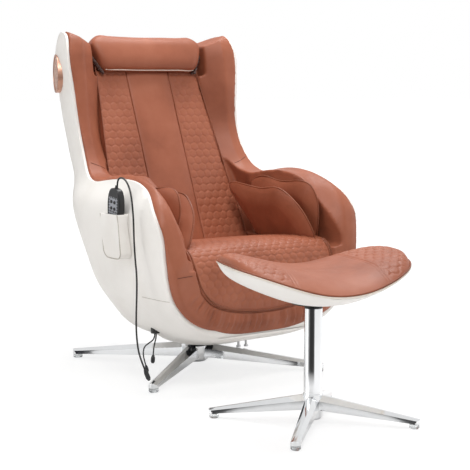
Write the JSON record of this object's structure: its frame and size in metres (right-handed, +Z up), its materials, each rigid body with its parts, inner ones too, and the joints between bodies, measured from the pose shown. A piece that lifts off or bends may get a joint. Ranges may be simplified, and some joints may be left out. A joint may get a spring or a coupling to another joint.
{
  "type": "massage chair with footstool",
  "caption": "Swivelling egg-shaped massage armchair with quilted leather padding, a cream shell, a chrome star base and a matching saddle footstool.",
  "frame": {"origin": "on the floor under the middle of the chair and footstool, loose cords left out", "axes": "+Z up, the sitter faces -Y, +X is the sitter's left; the footstool stands ahead of the chair"},
  "size_m": [0.7783, 1.4273, 1.0121],
  "materials": {
    "tan_leather": "soft semi-gloss, quilted on the back, seat and footstool",
    "cream_leather": "smooth satin skin over a moulded shell",
    "chrome": "polished",
    "black_paint": "satin black",
    "clear_plastic": "clear moulded",
    "black_plastic": "fine texture",
    "silver_plastic": "silver lacquer",
    "black_rubber": "matt",
    "copper_trim": "copper lacquer",
    "grille_cloth": "tight knit",
    "frame_steel": "powder coat",
    "bright_steel": "ground",
    "heater_felt": "felt",
    "head_rubber": "matt"
  },
  "bodies": {
    "base": {"base_hub": "chrome", "base_legs": "chrome", "base_glides": "clear_plastic", "swivel_spindle": "bright_steel"},
    "chair": {"swivel_plate": "black_paint", "plate_bolts": "bright_steel", "stop_pins": "bright_steel", "outer_shell": "cream_leather", "bolster_right": "tan_leather", "bolster_left": "tan_leather", "front_apron": "tan_leather", "seat_cushion": "tan_leather", "back_cushion": "tan_leather", "back_centre_panel": "tan_leather", "top_cover": "tan_leather", "outer_pads": "tan_leather", "speaker_rings": "copper_trim", "speaker_grilles": "grille_cloth", "handset_pocket": "cream_leather", "lead_gland": "black_rubber", "lead_long": "black_rubber", "lead_long_plug": "black_plastic", "lead_short": "black_rubber", "lead_short_plug": "black_plastic", "seat_frame": "frame_steel", "seat_heater": "heater_felt", "control_box": "black_plastic", "air_pump": "black_plastic", "guide_rails": "bright_steel", "rail_brackets": "frame_steel", "screw_motor": "frame_steel"},
    "pillow": {"head_pillow": "tan_leather"},
    "pad_right": {"inner_pad_right": "tan_leather"},
    "pad_left": {"inner_pad_left": "tan_leather"},
    "handset": {"handset_body": "black_plastic", "handset_face": "silver_plastic", "handset_strain_relief": "black_rubber", "handset_cord": "black_rubber", "handset_plug": "black_plastic"},
    "key_1": {"handset_button_1": "black_rubber"},
    "key_2": {"handset_button_2": "black_rubber"},
    "key_3": {"handset_button_3": "black_rubber"},
    "key_4": {"handset_button_4": "black_rubber"},
    "massage_carriage": {"carriage": "frame_steel", "knead_motor": "frame_steel"},
    "knead": {"knead_shaft": "bright_steel"},
    "head_1": {"massage_head_1": "head_rubber"},
    "head_2": {"massage_head_2": "head_rubber"},
    "head_3": {"massage_head_3": "head_rubber"},
    "head_4": {"massage_head_4": "head_rubber"},
    "screw": {"lead_screw": "bright_steel"},
    "stool_base": {"stool_hub": "chrome", "stool_legs": "chrome", "stool_glides": "clear_plastic", "stool_column": "chrome", "stool_collar": "black_plastic"},
    "stool_top": {"stool_neck": "chrome", "stool_plate": "black_paint", "stool_shell": "cream_leather", "stool_cushion": "tan_leather"}
  },
  "joints": [
    {"name": "chair_swivel", "type": "hinge", "parent": "base", "child": "chair", "pos_m": [0.01965, 0.25554, 0.08], "axis": [0, 0, 1], "continuous": true},
    {"name": "pillow_slide", "type": "slide", "parent": "chair", "child": "pillow", "axis": [0, 0.3633, 0.9317], "range_m": [0, 0.04]},
    {"name": "pad_right_fold", "type": "hinge", "parent": "chair", "child": "pad_right", "pos_m": [-0.20435, 0.13554, 0.395], "axis": [0, 1, 0], "range_deg": [0, 8], "stiffness_Nm_per_rad": 60},
    {"name": "pad_left_fold", "type": "hinge", "parent": "chair", "child": "pad_left", "pos_m": [0.24365, 0.13554, 0.395], "axis": [0, -1, 0], "range_deg": [0, 8], "stiffness_Nm_per_rad": 60},
    {"name": "handset_lift", "type": "slide", "parent": "chair", "child": "handset", "axis": [-0.0436, -0.1392, 0.9893], "range_m": [0, 0.16]},
    {"name": "carriage_slide", "type": "slide", "parent": "chair", "child": "massage_carriage", "axis": [0, 0.3633, 0.9317], "range_m": [-0.1, 0.1]},
    {"name": "screw_turn", "type": "hinge", "parent": "chair", "child": "screw", "pos_m": [0.01965, 0.53287, 0.58506], "axis": [0, 0.3633, 0.9317], "continuous": true},
    {"name": "knead_turn", "type": "hinge", "parent": "massage_carriage", "child": "knead", "pos_m": [0.01965, 0.48988, 0.61792], "axis": [1, 0, 0], "continuous": true},
    {"name": "stool_shift", "type": "slide", "parent": "base", "child": "stool_base", "axis": [0, -1, 0], "range_m": [0, 0.3]},
    {"name": "stool_swivel", "type": "hinge", "parent": "stool_base", "child": "stool_top", "pos_m": [-0.15035, -0.50446, 0.3], "axis": [0, 0, 1], "continuous": true},
    {"name": "key_press_1", "type": "slide", "parent": "handset", "child": "key_1", "axis": [0.999, 0, 0.0441], "range_m": [0, 0.001], "stiffness_N_per_m": 400},
    {"name": "key_press_2", "type": "slide", "parent": "handset", "child": "key_2", "axis": [0.999, 0, 0.0441], "range_m": [0, 0.001], "stiffness_N_per_m": 400},
    {"name": "key_press_3", "type": "slide", "parent": "handset", "child": "key_3", "axis": [0.999, 0, 0.0441], "range_m": [0, 0.001], "stiffness_N_per_m": 400},
    {"name": "key_press_4", "type": "slide", "parent": "handset", "child": "key_4", "axis": [0.999, 0, 0.0441], "range_m": [0, 0.001], "stiffness_N_per_m": 400},
    {"name": "head_turn_1", "type": "hinge", "parent": "massage_carriage", "child": "head_1", "pos_m": [-0.05535, 0.5123, 0.68646], "axis": [1, 0, 0], "continuous": true},
    {"name": "head_turn_2", "type": "hinge", "parent": "massage_carriage", "child": "head_2", "pos_m": [0.09465, 0.5123, 0.68646], "axis": [1, 0, 0], "continuous": true},
    {"name": "head_turn_3", "type": "hinge", "parent": "massage_carriage", "child": "head_3", "pos_m": [-0.05535, 0.45999, 0.5523], "axis": [1, 0, 0], "continuous": true},
    {"name": "head_turn_4", "type": "hinge", "parent": "massage_carriage", "child": "head_4", "pos_m": [0.09465, 0.45999, 0.5523], "axis": [1, 0, 0], "continuous": true}
  ],
  "couplings": [
    {"joint": "screw_turn", "follows": "carriage_slide", "rad_per_m": 523.6}
  ]
}
